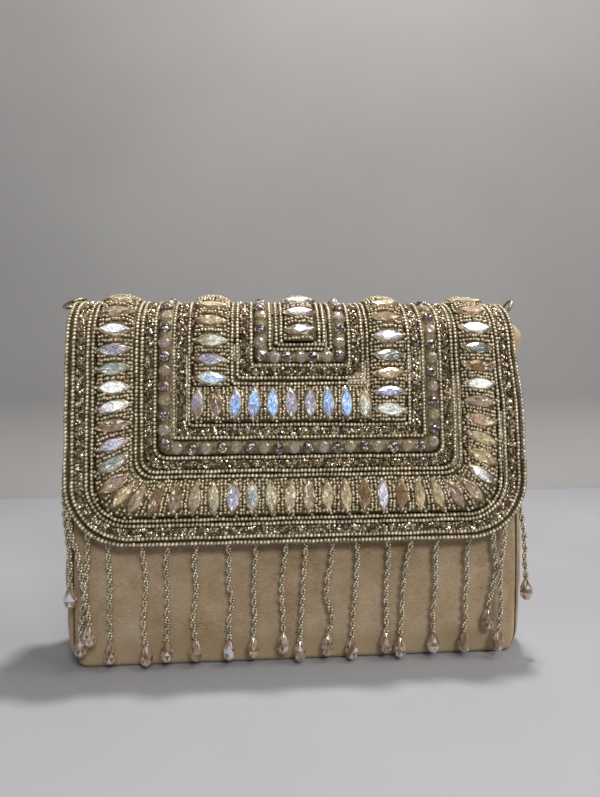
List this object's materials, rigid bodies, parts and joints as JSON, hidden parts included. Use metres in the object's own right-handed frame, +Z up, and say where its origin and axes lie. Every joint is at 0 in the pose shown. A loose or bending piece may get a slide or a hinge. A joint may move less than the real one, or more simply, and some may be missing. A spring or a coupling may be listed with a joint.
{
  "type": "beaded clutch",
  "caption": "Velvet box clutch with a rounded top, a bead-embroidered flap, a fringe of bead strings with crystal drops, and two small rings for a strap.",
  "frame": {"origin": "centre of the flat base, on the surface that the clutch stands on", "axes": "+Z up, +X to the right as seen from the front, front and fringe towards -Y"},
  "size_m": [0.2241, 0.0618, 0.1716],
  "materials": {
    "velvet": "short silk pile in beige tan",
    "bronze_beads": "crushed antique-gold metallic beads",
    "stone_channel": "iridescent navette crystals on champagne seed beads",
    "round_stone_channel": "smoky and milky round crystals on champagne seed beads",
    "seed_beads": "silver-lined champagne glass seed beads",
    "crystal": "faceted pale peach crystal",
    "gold_metal": "pale antique gold plate"
  },
  "bodies": {
    "clutch": {"front_panel": "velvet", "back_panel": "velvet", "gusset": "velvet", "flap": "velvet", "ring_tab_left": "velvet", "ring_tab_right": "velvet", "magnetic_snap": "gold_metal", "bronze_band_1": "bronze_beads", "bronze_band_2": "bronze_beads", "bronze_band_3": "bronze_beads", "bronze_band_4": "bronze_beads", "outer_marquise_row": "stone_channel", "middle_marquise_row": "stone_channel", "centre_marquise_row": "stone_channel", "outer_round_row": "round_stone_channel", "inner_round_row": "round_stone_channel", "fringe": "seed_beads", "drop_01": "crystal", "drop_02": "crystal", "drop_03": "crystal", "drop_04": "crystal", "drop_05": "crystal", "drop_06": "crystal", "drop_07": "crystal", "drop_08": "crystal", "drop_09": "crystal", "drop_10": "crystal", "drop_11": "crystal", "drop_12": "crystal", "drop_13": "crystal", "drop_14": "crystal", "drop_15": "crystal", "drop_16": "crystal", "drop_17": "crystal", "drop_18": "crystal", "drop_19": "crystal", "drop_20": "crystal"},
    "left_ring": {"ring_left": "gold_metal"},
    "right_ring": {"ring_right": "gold_metal"}
  },
  "joints": [
    {"name": "left_ring_swing", "type": "hinge", "parent": "clutch", "child": "left_ring", "pos_m": [-0.1064, 0.00525, 0.1668], "axis": [-0.9272, 0, -0.3746], "range_deg": [0, 150]},
    {"name": "right_ring_swing", "type": "hinge", "parent": "clutch", "child": "right_ring", "pos_m": [0.1061, 0.005, 0.1612], "axis": [0, 1, 0], "range_deg": [-30, 100]}
  ]
}
